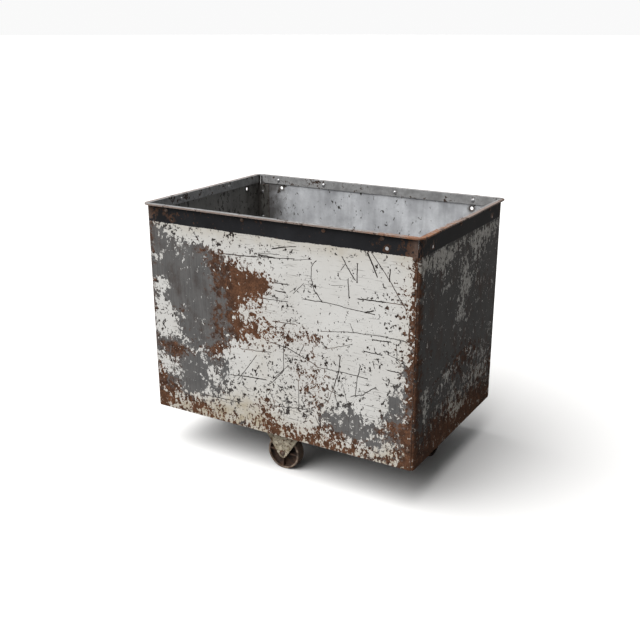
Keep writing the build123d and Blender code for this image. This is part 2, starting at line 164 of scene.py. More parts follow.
# ends: mostly bare, with what is left of the paint
END_PAINT = [
    (-160, 495, 80, 7, 1.4), (-165, 480, 52, 11, 1.2, -4), (-110, 470, 16, 9, 0.8),
    (160, 488, 80, 16, 1.1, 4), (84, 468, 20, 22, 1.1), (104, 440, 18, 10, 0.6), (-2, 440, 14, 9, 0.7),
    (10, 420, 17, 22, 1.0, 10), (14, 372, 38, 16, 0.95), (-4, 324, 26, 22, 1.05),
    (6, 300, 26, 10, 0.75), (-18, 258, 11, 10, 0.9), (42, 392, 20, 26, 0.6), (115, 404, 18, 8, 0.7),
    (-104, 404, 20, 8, 0.85), (-116, 440, 12, 6, 0.7), (-234, 418, 13, 10, 0.85),
    (-206, 160, 13, 11, 1.0), (-196, 138, 8, 20, 1.1, -8), (-92, 164, 30, 9, 0.75, 22),
    (-60, 182, 14, 7, 0.75), (-34, 114, 9, 17, 0.9), (80, 196, 11, 14, 0.7), (156, 160, 12, 11, 0.75),
    (130, 110, 25, 8, 0.65, -20), (188, 122, 20, 9, 0.6), (36, 62, 25, 8, 0.6, 15),
    (-14, 62, 12, 10, 0.6), (208, 72, 8, 22, 0.5), (225, 230, 10, 22, 0.5), (0, 130, 240, 80, 0.2),
    (0, 500, 200, 10, 0.2), (170, 400, 90, 110, 0.18), (40, 330, 60, 130, 0.12),
    (150, 200, 110, 120, 0.11), (-100, 300, 110, 110, -0.12), (0, 110, 200, 60, 0.14),
    (-120, 450, 90, 50, 0.2), (20, 60, 240, 70, 0.22),
]
END_RUST = [
    (-60, 22, 220, 36, 0.75), (-60, 66, 130, 34, 0.4), (120, 30, 140, 40, 0.5),
    (-252, 280, 14, 320, 1.1), (-180, 285, 12, 18, 0.4), (60, 190, 30, 12, 0.4),
    (252, 200, 10, 240, 0.6), (180, 110, 60, 18, 0.5), (0, 8, 260, 20, 0.5), (-100, 200, 160, 60, 0.12),
    (20, 110, 230, 110, 0.26), (60, 300, 190, 170, 0.10),
]
END_STAIN = [(0, 40, 260, 60, 0.6), (-100, 490, 160, 20, 0.2), (-240, 250, 30, 260, 0.3)]
BACK_PAINT = [
    (210, 300, 120, 110, -1.4, 20), (120, 180, 90, 40, -0.9, -10), (300, 420, 60, 40, -0.8),
    (330, 250, 40, 160, -0.7), (-120, 90, 160, 44, -0.8, 6), (-300, 70, 90, 70, -1.0),
    (-210, 210, 50, 30, -0.55, 30), (-30, 300, 60, 22, -0.4), (-330, 440, 40, 50, -0.6),
    (60, 420, 70, 18, -0.45, -8), (0, 30, 390, 40, -0.5), (250, 250, 28, 22, 0.9),
    (170, 345, 20, 26, 0.8), (-380, 280, 14, 320, -1.0), (380, 280, 14, 320, -1.0),
    (0, 4, 400, 7, -0.9),
]
BACK_RUST = [
    (120, 200, 80, 50, 0.9), (-300, 60, 110, 70, 0.9), (330, 240, 50, 170, 0.6), (0, 10, 400, 30, 0.8),
    (-380, 280, 16, 320, 0.9), (380, 280, 16, 320, 0.9), (-210, 210, 60, 40, 0.8),
    (60, 420, 70, 24, 0.6), (290, 420, 40, 30, 0.7),
]
BACK_STAIN = [(60, 40, 200, 50, 0.7), (0, 506, 380, 8, 0.5), (-180, 330, 80, 60, 0.3)]


def mirrored(ellipses):
    """The same ellipses with left and right exchanged."""
    return [(-along, up, reach_along, reach_up, strength, *(-turn for turn in tilt))
            for along, up, reach_along, reach_up, strength, *tilt in ellipses]


def ellipse_field(along, up, ellipses, blur):
    """Sum of ellipses at arrays of points in millimetres, their edges blurred by that many."""
    total = np.zeros_like(along)
    for centre_along, centre_up, reach_along, reach_up, strength, *tilt in ellipses:
        turn = math.radians(sum(tilt))
        da, du = along - centre_along, up - centre_up
        a = (da * math.cos(turn) + du * math.sin(turn)) / reach_along
        b = (-da * math.sin(turn) + du * math.cos(turn)) / reach_up
        outside = (np.sqrt(a * a + b * b) - 1) * min(reach_along, reach_up)
        total += strength / (1.0 + np.exp(np.clip(outside / blur, -30, 30)))
    return total


# ---- scratches on the front: start, end, half-width, all in millimetres -------------
FRONT_SCRATCHES = [
    (-220, 452, -140, 455, 0.8), (-140, 455, -55, 459, 0.9), (-55, 459, 60, 469, 0.7),
    (-38, 466, 6, 464, 1.3), (0, 486, 34, 494, 1.1), (34, 494, 66, 499, 0.6),
    (118, 470, 108, 456, 0.6), (108, 456, 107, 428, 0.6), (107, 428, 116, 400, 0.7),
    (116, 400, 138, 375, 0.8), (86, 375, 152, 376, 0.7), (152, 376, 210, 371, 0.6),
    (210, 371, 272, 368, 0.7), (250, 369, 268, 375, 1.2), (190, 490, 203, 468, 0.9),
    (203, 468, 222, 442, 0.9), (228, 478, 228, 440, 0.8), (197, 476, 187, 460, 0.6),
    (205, 440, 208, 400, 0.8), (255, 505, 278, 458, 1.2), (265, 508, 310, 452, 0.7),
    (310, 452, 350, 394, 0.8), (310, 478, 309, 450, 1.0), (232, 398, 300, 401, 1.0),
    (300, 401, 352, 402, 0.6), (135, 303, 205, 314, 0.5), (205, 314, 290, 319, 0.6),
    (290, 319, 376, 317, 0.7), (274, 307, 312, 309, 0.9), (-12, 249, 40, 243, 0.7),
    (40, 243, 82, 228, 0.8), (82, 228, 122, 213, 0.7), (122, 210, 200, 211, 0.6),
    (200, 211, 256, 208, 0.7), (186, 246, 183, 212, 0.9), (183, 212, 168, 164, 0.9),
    (168, 164, 176, 134, 0.7), (150, 158, 186, 150, 0.6), (240, 235, 232, 205, 0.8),
    (232, 205, 227, 156, 0.7), (216, 154, 246, 164, 0.7), (246, 164, 280, 191, 0.7),
    (28, 246, 28, 182, 0.7), (28, 182, 0, 150, 0.7), (0, 150, -18, 134, 0.6),
    (-5, 152, 40, 196, 0.5), (-112, 128, -52, 206, 0.6), (70, 165, 70, 88, 0.6),
    (250, 275, 292, 274, 0.8), (318, 276, 346, 268, 0.5), (330, 302, 333, 270, 0.5),
    (333, 270, 348, 254, 0.5), (312, 240, 352, 239, 0.9), (-152, 133, -102, 141, 0.7),
    (-102, 141, -26, 146, 0.9), (-4, 80, 96, 92, 0.7), (-212, 63, -110, 66, 0.8),
    (-62, 357, 42, 361, 0.6), (0, 402, 42, 404, 0.8), (8, 384, 32, 383, 0.9),
    (60, 386, 86, 412, 0.5), (50, 387, 66, 400, 0.4), (0, 305, 62, 308, 0.7),
    (-98, 215, -10, 222, 0.6), (72, 230, 86, 258, 0.6), (150, 262, 215, 285, 0.4),
    (212, 335, 220, 316, 0.5), (150, 120, 168, 164, 0.5), (196, 172, 214, 92, 0.5),
    (-40, 470, 20, 474, 0.5), (60, 466, 108, 474, 0.4), (-8, 104, 0, 80, 0.5),
    (118, 78, 134, 50, 0.7), (300, 214, 346, 205, 0.4), (160, 420, 190, 424, 0.3),
]


# ---- thin sheet pieces ---------------------------------------------------------------

def round_hole(centre, radius, points=20):
    """A circular hole's outline, clockwise."""
    steps = [-2 * math.pi * k / points for k in range(points)]
    return [(centre[0] + radius * math.cos(t), centre[1] + radius * math.sin(t)) for t in steps]


def divided(corners, step):
    """A closed outline with extra points along its long sides."""
    points = []
    for (x0, y0), (x1, y1) in zip(corners, corners[1:] + corners[:1]):
        count = max(1, math.ceil(math.hypot(x1 - x0, y1 - y0) / step))
        points += [(x0 + (x1 - x0) * k / count, y0 + (y1 - y0) * k / count) for k in range(count)]
    return points


def inset(loop, amount):
    """A closed loop moved to its left by an amount: inwards if it runs counter-clockwise."""
    moved = []
    for before, here, after in zip(loop[-1:] + loop[:-1], loop, loop[1:] + loop[:1]):
        d0 = Vector((here[0] - before[0], here[1] - before[1])).normalized()
        d1 = Vector((after[0] - here[0], after[1] - here[1])).normalized()
        n0, n1 = Vector((-d0.y, d0.x)), Vector((-d1.y, d1.x))
        bisector = n0 + n1
        scale = amount / max(bisector.length_squared / 2, 0.2)
        moved.append((here[0] + bisector.x * scale, here[1] + bisector.y * scale))
    return moved


def loop_tests(points, loops):
    """For an array of points: inside all the loops by the even-odd rule, and distance to them."""
    inside = np.zeros(len(points), bool)
    near = np.full(len(points), 1e9)
    px, py = points[:, 0], points[:, 1]
    for loop in loops:
        for (x0, y0), (x1, y1) in zip(loop, loop[1:] + loop[:1]):
            dx, dy = x1 - x0, y1 - y0
            crosses = (y0 > py) != (y1 > py)
            if dy:
                inside ^= crosses & (px < x0 + (py - y0) * dx / dy)
            share = np.clip(((px - x0) * dx + (py - y0) * dy) / (dx * dx + dy * dy), 0, 1)
            near = np.minimum(near, np.hypot(px - x0 - share * dx, py - y0 - share * dy))
    return inside, near


scratch_step, scratch_wander = 2.5, 1.4        # millimetres
scratch_breadth = 1.9                         # how much wider a scratch lies than its listed core
clear_of_scratch = 2.2                        # half-widths kept free of lattice points
clear_of_edge = 0.45                          # lattice steps kept free along every edge


def scratch_path(scratch):
    """Points along one scratch in metres, wandering a little, and its half-width."""
    a0, u0, a1, u1, half = scratch
    start, end = Vector((a0, u0)), Vector((a1, u1))
    sideways = Vector((u0 - u1, a1 - a0)).normalized()
    count = max(3, math.ceil((end - start).length / scratch_step))
    points = []
    for k in range(count + 1):
        uneven = noise.noise(Vector((a0 + k * 0.23, u0, 0.5)))
        wander = scratch_wander * uneven * math.sin(math.pi * k / count)
        points.append((start.lerp(end, k / count) + sideways * wander) * mm)
    return points, scratch_breadth * half * mm


def scratch_nearness(points, paths):
    """For an array of points: how near the closest scratch is, in half-widths."""
    near = np.full(len(points), 1e9)
    for path, half in paths:
        for start, end in zip(path, path[1:]):
            run = end - start
            share = ((points[:, 0] - start.x) * run.x + (points[:, 1] - start.y) * run.y) / run.length_squared
            share = np.clip(share, 0, 1)
            far = np.hypot(points[:, 0] - start.x - share * run.x, points[:, 1] - start.y - share * run.y)
            near = np.minimum(near, far / half)
    return near


def sheet_mesh(name, corners, holes, along_lines, up_lines, place, thickness, chamfer=0.35 * mm, paths=()):
    """A closed thin sheet: outer skin, inner skin, chamfered edges. Material slots 0, 1 and 2.

    The sheet is laid out flat; place(along, up, depth) puts its points in space. Scratches get
    a strip of closely set points each, so that the vertex field can carry them.
    """
    step = float(np.median(np.diff(up_lines)))
    full = [divided(corners, step)] + [round_hole((a, u), r) for a, u, r in holes]
    loops = [inset(loop, chamfer) for loop in full]
    grid = np.array([(a, u) for a in along_lines for u in up_lines])
    inside, near = loop_tests(grid, loops)
    grid = grid[inside & (near > clear_of_edge * min(step, float(np.min(np.diff(along_lines))) * 2))]
    if paths:
        grid = grid[scratch_nearness(grid, paths) > clear_of_scratch]
    points, edges = [], []
    for loop in loops:
        first = len(points)
        points += loop
        edges += [(first + k, first + (k + 1) % len(loop)) for k in range(len(loop))]
    rim_count = len(points)
    points += [tuple(p) for p in grid]
    for path, half in paths:
        for k, here in enumerate(path):
            run = path[min(k + 1, len(path) - 1)] - path[max(k - 1, 0)]
            sideways = Vector((-run.y, run.x)).normalized() * half
            points += [tuple(here), tuple(here + sideways), tuple(here - sideways)]
    flat, _, faces, origin, _, _ = geometry.delaunay_2d_cdt(
        [Vector(p) for p in points], edges, [], 1, 1e-7, True)
    flat = np.array([tuple(p) for p in flat])
    faces = np.array(faces)
    middle = flat[faces].mean(axis=1)
    keep, _ = loop_tests(middle, loops)
    faces = faces[keep]
    new_of = {old: new for new, olds in enumerate(origin) for old in olds}
    outline = np.array([p for loop in full for p in loop])

    count = len(flat)
    skin_out = place(flat[:, 0], flat[:, 1], np.zeros(count))
    skin_in = place(flat[:, 0], flat[:, 1], np.full(count, thickness))
    edge_out = place(outline[:, 0], outline[:, 1], np.full(rim_count, chamfer))
    edge_in = place(outline[:, 0], outline[:, 1], np.full(rim_count, thickness - chamfer))
    verts = np.vstack([skin_out, skin_in, edge_out, edge_in])
    polygons = [tuple(f) for f in faces] + [tuple(int(v) + count for v in f[::-1]) for f in faces]
    slots = [0] * len(faces) + [1] * len(faces)
    base_out, base_in = 2 * count, 2 * count + rim_count
    for a, b in edges:
        skin_a, skin_b = new_of[a], new_of[b]
        polygons += [(skin_b, skin_a, base_out + a, base_out + b),
                     (base_out + b, base_out + a, base_in + a, base_in + b),
                     (base_in + b, base_in + a, count + skin_a, count + skin_b)]
        slots += [2, 2, 2]
    mesh = bpy.data.meshes.new(name)
    mesh.from_pydata([tuple(v) for v in verts], [], [tuple(int(v) for v in p) for p in polygons])
    mesh.polygons.foreach_set("material_index", slots)
    flat_all = np.vstack([flat, flat, outline, outline])
    return mesh, flat_all


def add_field(mesh, name, values):
    """A per-vertex number that the materials read."""
    mesh.attributes.new(name, "FLOAT", "POINT").data.foreach_set(
        "value", np.asarray(values, dtype=np.float32))


def finish_mesh(name, mesh, materials, body, nodes, sharp=35.0):
    """Make an object of a mesh, shade it, hang it on its body and hide the CAD nodes it stands for."""
    work = bmesh.new()
    work.from_mesh(mesh)
    bmesh.ops.recalc_face_normals(work, faces=work.faces)
    work.to_mesh(mesh)
    work.free()
    mesh.shade_smooth()
    mesh.set_sharp_from_angle(angle=math.radians(sharp))
    for material in materials:
        mesh.materials.append(material)
    piece = bpy.data.objects.new(name, mesh)
    bpy.context.scene.collection.objects.link(piece)
    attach(piece, body)
    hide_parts(*nodes)
    return piece


def lines(low, high, step):
    """Evenly spaced lattice lines strictly between two limits."""
    count = max(2, round((high - low) / step))
    return np.linspace(low, high, count + 1)[1:-1]


def smooth_noise(along, up, scale, seed):
    """Slow noise from -1 to 1 over arrays of points."""
    return np.array([noise.noise(Vector((a * scale, u * scale, seed))) for a, u in zip(along, up)])


# ---- material kit -----------------------------------------------------------------------

class Look:
    """A material under construction, with short names for the nodes it is made of."""

    def __init__(self, name):
        self.material = bpy.data.materials.new(name)
        self.material.use_nodes = True
        self.tree = self.material.node_tree
        self.tree.nodes.clear()
        self.place = self.node("ShaderNodeTexCoord").outputs["Object"]

    def node(self, kind, **settings):
        made = self.tree.nodes.new(kind)
        for key, value in settings.items():
            setattr(made, key, value)
        return made

    def put(self, socket, value):
        if isinstance(value, bpy.types.NodeSocket):
            self.tree.links.new(value, socket)
        elif value is not None:
            socket.default_value = value

    def math(self, operation, a, b=None, c=None, clamp=False):
        made = self.node("ShaderNodeMath", operation=operation, use_clamp=clamp)
        for socket, value in zip(made.inputs, (a, b, c)):
            self.put(socket, value)
        return made.outputs[0]

    def times(self, a, b, clamp=False):
        return self.math("MULTIPLY", a, b, clamp=clamp)

    def stir(self, level, mottle, amount):
        """A level moved up and down by a noise, which is centred on a half."""
        return self.math("MULTIPLY_ADD", self.math("SUBTRACT", mottle, 0.5), amount, level)

    def vector(self, operation, a, b):
        made = self.node("ShaderNodeVectorMath", operation=operation)
        self.put(made.inputs[0], a)
        self.put(made.inputs[1], b)
        return made.outputs["Vector"]

    def noise(self, scale, detail, rough, distortion=0.0, at=None, stretch=None):
        where = at or self.place
        if stretch:
            where = self.vector("MULTIPLY", where, stretch)
        made = self.node("ShaderNodeTexNoise")
        for key, given in (("Vector", where), ("Scale", scale), ("Detail", detail),
                           ("Roughness", rough), ("Distortion", distortion)):
            self.put(made.inputs[key], given)
        return made.outputs["Fac"]

    def cells(self, scale):
        made = self.node("ShaderNodeTexVoronoi")
        self.put(made.inputs["Vector"], self.place)
        self.put(made.inputs["Scale"], scale)
        return made.outputs["Distance"]

    def span(self, value, low, high, to_low=0.0, to_high=1.0):
        made = self.node("ShaderNodeMapRange", clamp=True)
        for key, given in (("Value", value), ("From Min", low), ("From Max", high),
                           ("To Min", to_low), ("To Max", to_high)):
            self.put(made.inputs[key], given)
        return made.outputs["Result"]

    def mix(self, share, a, b):
        """Mix of two colours."""
        made = self.node("ShaderNodeMix", data_type="RGBA")
        self.put(made.inputs["Factor"], share)
        self.put(made.inputs[6], rgba(a))
        self.put(made.inputs[7], rgba(b))
        return made.outputs[2]

    def blend(self, share, a, b):
        """Mix of two numbers."""
        made = self.node("ShaderNodeMix", data_type="FLOAT")
        self.put(made.inputs["Factor"], share)
        self.put(made.inputs["A"], a)
        self.put(made.inputs["B"], b)
        return made.outputs["Result"]

    def field(self, name):
        return self.node("ShaderNodeAttribute", attribute_name=name).outputs["Fac"]

    def parts(self):
        made = self.node("ShaderNodeSeparateXYZ")
        self.put(made.inputs[0], self.place)
        return made.outputs

    def bump(self, height, distance, strength):
        made = self.node("ShaderNodeBump")
        self.put(made.inputs["Height"], height)
        self.put(made.inputs["Distance"], distance)
        self.put(made.inputs["Strength"], strength)
        return made.outputs["Normal"]

    def finish(self, colour, roughness, metallic, normal, specular=0.5):
        shader = self.node("ShaderNodeBsdfPrincipled")
        for key, given in (("Base Color", rgba(colour)), ("Roughness", roughness), ("Metallic", metallic),
                           ("Specular IOR Level", specular), ("Normal", normal)):
            self.put(shader.inputs[key], given)
        output = self.node("ShaderNodeOutputMaterial")
        self.tree.links.new(shader.outputs["BSDF"], output.inputs["Surface"])
        return self.material


def rgba(colour):
    """A plain colour gets its fourth number; a socket is left as it is."""
    if isinstance(colour, tuple) and len(colour) == 3:
        return (*colour, 1.0)
    return colour


# colours, linear
WHITE_PAINT = (0.685, 0.682, 0.665)
WHITE_WORN = (0.58, 0.565, 0.535)
DIRTY_PAINT = (0.20, 0.185, 0.16)
CREAM = (0.47, 0.415, 0.315)
NAVY = (0.0075, 0.0075, 0.0095)
STEEL_DARK = (0.112, 0.111, 0.112)
STEEL_MID = (0.215, 0.211, 0.208)
RUST_PIT = (0.020, 0.011, 0.008)
RUST_DEEP = (0.046, 0.021, 0.012)
RUST_BROWN = (0.132, 0.063, 0.036)
RUST_ORANGE = (0.29, 0.120, 0.050)
ZINC_LIGHT = (0.76, 0.78, 0.81)
ZINC_DARK = (0.42, 0.43, 0.455)
FRESH_STEEL = (0.026, 0.019, 0.016)
LIFTING_PAINT = (0.30, 0.17, 0.09)
NAVY_WORN = (0.020, 0.021, 0.025)
NICK = (0.045, 0.04, 0.036)
INSIDE_DIRT_AND_SHADE = (0.06, 0.053, 0.047)


def rust_colour(look, seed):
    """Mottled rust from deep brown to orange."""
    where = look.vector("ADD", look.place, (seed, seed, seed))
    coarse = look.noise(60.0, 9, 0.74, at=where)
    fine = look.noise(420.0, 3, 0.6, at=where)
    body = look.mix(look.span(coarse, 0.38, 0.62), RUST_DEEP, RUST_BROWN)
    bright = look.times(look.span(coarse, 0.5, 0.72), look.span(fine, 0.45, 0.7))
    pits = look.noise(230.0, 5, 0.7, at=where)
    crust = look.mix(bright, body, RUST_ORANGE)
    return look.mix(look.span(pits, 0.38, 0.5, 0.6, 0.0), crust, RUST_PIT)


def bare_steel(look, shade, brown_most):
    """Dull dark steel with faint streaks down the wall and thin brown rust in clouds."""
    cloud = look.noise(14.0, 5, 0.6)
    streak = look.noise(260.0, 3, 0.6, stretch=(1.0, 1.0, 0.06))
    tone = look.math("MULTIPLY_ADD", streak, 0.5, look.times(cloud, 0.6))
    dark, mid = (tuple(shade * part for part in tone_colour) for tone_colour in (STEEL_DARK, STEEL_MID))
    brown = look.noise(24.0, 8, 0.7, stretch=(1.0, 1.0, 0.5))
    brown = look.span(brown, 0.50, 0.66, 0.0, brown_most)
    return look.mix(brown, look.mix(look.span(tone, 0.35, 0.78), dark, mid), RUST_DEEP)


def painted_wall(name, seed, along_axis=0, shade=1.0, brown_most=0.5, dirt=0.0):
    """White paint over bare and rusty steel, with a dark band painted over its top."""
    look = Look(name)
    shift = look.vector("ADD", look.place, (seed, seed * 0.7, seed * 1.3))
    paint, rust, stain = look.field("paint"), look.field("rust"), look.field("stain")
    up = look.parts()[2]

    # where the paint has gone: the field, broken up by ragged noise at several scales
    ragged = look.noise(42.0, 6, 0.62, 0.2, at=shift)
    flecks = look.noise(115.0, 4, 0.6, 0.1, at=shift, stretch=(1.2, 1.2, 0.8))
    specks = look.noise(330.0, 2, 0.5, at=shift)
    broken = look.stir(paint, ragged, 3.0)
    broken = look.stir(broken, flecks, 4.4)
    broken = look.stir(broken, specks, 1.5)
    kept = look.span(broken, 0.44, 0.52)

    # small chips in paint that is otherwise whole
    chip_noise = look.noise(135.0, 3, 0.55, 0.5, at=shift, stretch=(0.85, 0.85, 1.0))
    crowd = look.noise(26.0, 3, 0.6, at=shift)
    chip_level = look.math("MULTIPLY_ADD", look.field("chips"), 0.085, chip_noise)
    chip_level = look.stir(chip_level, crowd, 0.42)
    chip = look.span(chip_level, 0.70, 0.715)
    kept = look.times(kept, look.math("SUBTRACT", 1.0, chip))

    # fine scuffs lying along the wall
    flat_stretch = (0.05, 1.0, 1.0) if along_axis == 0 else (1.0, 0.05, 1.0)
    scuffs = look.noise(420.0, 2, 0.5, at=shift, stretch=flat_stretch)
    patches = look.noise(9.0, 4, 0.6, at=shift)
    scuff_mark = look.times(look.span(scuffs, 0.62, 0.68), look.span(patches, 0.42, 0.60))
    kept = look.math("SUBTRACT", kept, look.times(scuff_mark, 0.6), clamp=True)

    # long scratches
    gaps = look.noise(210.0, 4, 0.7, at=shift)
    mark = look.span(look.math("MULTIPLY_ADD", gaps, -0.8, look.field("scratch")), -0.22, -0.02)
    kept = look.times(kept, look.math("SUBTRACT", 1.0, mark, clamp=True))

    # colours under and over
    metal = bare_steel(look, shade, brown_most)
    # steel laid bare only at a chip or scratch is darker than steel that has been bare for long
    metal = look.mix(look.span(paint, 0.50, 1.0, 0.0, 0.9), metal, FRESH_STEEL)
    orange = look.span(rust, 0.95, 1.2, 0.0, 0.12)
    rusted = look.mix(orange, rust_colour(look, seed), RUST_ORANGE)
    rust_noise = look.noise(62.0, 9, 0.72, at=shift)
    rust_share = look.stir(rust, rust_noise, 3.0)
    rust_share = look.span(rust_share, 0.40, 0.72)
    ground = look.mix(rust_share, metal, rusted)

    grime = look.noise(7.0, 6, 0.6, at=shift)
    white = look.mix(look.span(grime, 0.42, 0.7, 0.0, 0.5), WHITE_PAINT, WHITE_WORN)
    white = look.mix(look.span(look.noise(75.0, 6, 0.65, at=shift), 0.40, 0.62, 0.3 * dirt, dirt),
                     white, DIRTY_PAINT)
    stain_noise = look.noise(40.0, 5, 0.6, at=shift)
    stain_share = look.times(stain, look.span(stain_noise, 0.3, 0.62, 0.3, 1.0))
    white = look.mix(look.times(stain_share, 0.85, clamp=True), white, CREAM)
    # paint browned where it is about to lift
    halo = look.times(look.span(broken, 0.62, 0.48), look.span(rust, 0.2, 0.8))
    white = look.mix(look.times(halo, 0.55), white, LIFTING_PAINT)
    colour = look.mix(kept, ground, white)

    # the dark band
    wave = look.noise(9.0, 4, 0.6, at=shift)
    edge_fleck = look.noise(190.0, 4, 0.7, at=shift)
    level = look.stir(up, wave, 0.006)
    level = look.stir(level, edge_fleck, 0.004)
    in_band = look.span(level, band_bottom - 0.4 * mm, band_bottom + 0.4 * mm)
    band_wear = look.field("band_wear")
    band_break = look.stir(band_wear, rust_noise, 2.0)
    band_break = look.stir(band_break, flecks, 1.4)
    band_kept = look.span(band_break, 0.62, 0.54)
    navy = look.mix(look.span(grime, 0.4, 0.7), NAVY, NAVY_WORN)
    band_colour = look.mix(band_kept, look.mix(0.35, rusted, metal), navy)
    colour = look.mix(in_band, colour, band_colour)

    covered = look.blend(in_band, kept, band_kept)
    rough = look.blend(covered, look.blend(rust_share, 0.48, 0.88), look.blend(in_band, 0.46, 0.58))
    metallic = look.times(look.math("SUBTRACT", 1.0, covered),
                         look.blend(rust_share, 0.35, 0.0))
    grit = look.noise(900.0, 2, 0.6)
    height = look.math("MULTIPLY_ADD", covered, 1.0, look.times(grit, 0.25))
    height = look.math("MULTIPLY_ADD", look.times(rust_share, rust_noise), 0.5, height)
    normal = look.bump(height, 0.35 * mm, 0.7)
    return look.finish(colour, rough, metallic, normal, 0.24)


def zinc_inside(name, light, dark, nick_level):
    """Dull galvanised sheet, cloudy and streaked down the wall, with small dark nicks."""
    look = Look(name)
    spangle = look.cells(160.0)
    cloud = look.noise(11.0, 6, 0.6)
    runs = look.noise(46.0, 4, 0.6, stretch=(1.0, 1.0, 0.10))
    tone = look.math("MULTIPLY_ADD", cloud, 0.7, look.times(runs, 0.3))
    colour = look.mix(look.span(tone, 0.38, 0.60), dark, light)
    colour = look.mix(look.span(spangle, 0.2, 0.8, 0.0, 0.18), colour, dark)
    nick_noise = look.noise(105.0, 4, 0.55, 0.6, stretch=(1.0, 1.0, 0.55))
    gathered = look.noise(7.0, 3, 0.5)
    grime = look.field("grime")
    nick = look.math("MULTIPLY_ADD", grime, 0.10, nick_noise)
    nick = look.stir(nick, gathered, 0.35)
    nick = look.span(nick, nick_level, nick_level + 0.025)
    colour = look.mix(nick, colour, NICK)
    # painted shade: the shade field (darker towards the bottom inside, near the ends and along the folds,
    # plus dark stains round the holes) is broken up by a noise and mixed towards a dark colour
    dirt = look.noise(38.0, 6, 0.65)
    shade = look.stir(look.field("shade"), dirt, 1.2)
    shade = look.times(look.span(shade, 0.2, 0.8), 0.82)
    colour = look.mix(shade, colour, INSIDE_DIRT_AND_SHADE)
    brown = look.stir(grime, look.noise(60.0, 6, 0.65), 2.4)
    brown = look.span(brown, 0.70, 0.98)
    colour = look.mix(brown, colour, rust_colour(look, 3.0))
    rough = look.span(cloud, 0.35, 0.7, 0.34, 0.56)
    rough = look.blend(look.math("MAXIMUM", brown, shade), rough, 0.85)
    metallic = look.math("SUBTRACT", 0.25, look.times(brown, 0.25), clamp=True)
    normal = look.bump(look.noise(240.0, 4, 0.6), 0.15 * mm, 0.5)
    return look.finish(colour, rough, metallic, normal)


def worn_steel(name, base, pale, rust_level, scale, metallic, roughness, seed):
    """Handled steel: pale where rubbed, rusty in patches."""
    look = Look(name)
    shift = look.vector("ADD", look.place, (seed, seed, seed))
    cloud = look.noise(scale, 6, 0.62, at=shift)
    colour = look.mix(look.span(cloud, 0.4, 0.62), base, pale)
    patch = look.noise(scale * 0.55, 7, 0.68, at=shift)
    rusty = look.span(patch, 0.62 - 0.25 * rust_level, 0.70 - 0.25 * rust_level)
    colour = look.mix(rusty, colour, rust_colour(look, seed))
    rough = look.blend(rusty, roughness, 0.86)
    metal = look.math("SUBTRACT", metallic, look.times(rusty, metallic), clamp=True)
    height = look.math("MULTIPLY_ADD", rusty, 0.6, look.noise(600.0, 3, 0.6, at=shift))
    return look.finish(colour, rough, metal, look.bump(height, 0.2 * mm, 0.6))


def cream_bracket():
    """Thick cream paint, smeared with rusty dirt and rubbed through in spots."""
    look = Look("bracket_paint")
    cloud = look.noise(60.0, 8, 0.7)
    paint = look.mix(look.span(cloud, 0.38, 0.62), (0.33, 0.28, 0.19), (0.62, 0.56, 0.44))
    green = look.span(look.noise(33.0, 5, 0.6), 0.5, 0.64, 0.0, 0.25)
    paint = look.mix(green, paint, (0.25, 0.26, 0.22))
    chips = look.noise(150.0, 8, 0.72)
    gone = look.span(chips, 0.535, 0.575)
    colour = look.mix(gone, paint, rust_colour(look, 5.0))
    smear = look.noise(36.0, 7, 0.68, 0.6, stretch=(1.0, 1.0, 0.7))
    colour = look.mix(look.span(smear, 0.48, 0.60, 0.0, 0.85), colour, (0.085, 0.050, 0.024))
    height = look.math("SUBTRACT", look.times(cloud, 0.5), gone)
    return look.finish(colour, look.blend(gone, 0.55, 0.88), 0.0, look.bump(height, 0.3 * mm, 0.7))


def cast_iron():
    """Brown sand-cast iron, with what is left of pale paint on the rim's face and hub."""
    look = Look("wheel_iron")
    grain = look.noise(260.0, 5, 0.65)
    cloud = look.noise(50.0, 5, 0.6)
    colour = look.mix(look.span(cloud, 0.38, 0.64), (0.020, 0.012, 0.009), (0.085, 0.045, 0.027))
    colour = look.mix(look.span(grain, 0.58, 0.76, 0.0, 0.5), colour, RUST_ORANGE)
    rub = look.times(look.field("rub"), look.span(grain, 0.3, 0.55, 0.2, 1.0))
    colour = look.mix(rub, colour, (0.36, 0.28, 0.215))
    rough = look.blend(rub, 0.82, 0.55)
    return look.finish(colour, rough, look.times(rub, 0.2), look.bump(grain, 0.5 * mm, 0.6))


# ---- walls ---------------------------------------------------------------------------------

seam_inner = 345 * mm                         # the long walls lie free inside this
leg_bottom = rim_low.z
wall_step = 6 * mm
hole_radius = 4.5 * mm
hole_level = rim_top - 34 * mm
long_hole_reach = 300 * mm                    # from the middle of a long wall
end_hole_reach = 187 * mm                     # from the middle of an end
flange_rise = 17.5 * mm                       # the flanges start this far above the walls' bottom edge
flange_drop = 28.5 * mm                       # and stop this far below the rim's top
steel_edge = worn_steel("cut_edge", (0.10, 0.07, 0.055), (0.30, 0.26, 0.24), 0.75, 90.0, 0.4, 0.55, 2.0)
zinc = zinc_inside("inside_zinc", ZINC_LIGHT, ZINC_DARK, 0.695)
# the ends' insides get a darker copy of the zinc: painted shade, with more grime and nicks
shaded_grimy_zinc = zinc_inside("inside_shaded_grimy_zinc", (0.27, 0.265, 0.25), (0.13, 0.125, 0.115), 0.605)
up_lines = lines(wall_bottom, wall_top, wall_step)


def ease(value, low, high):
    """0 below low, 1 above high, smooth between."""
    share = np.clip((value - low) / (high - low), 0, 1)
    return share * share * (3 - 2 * share)


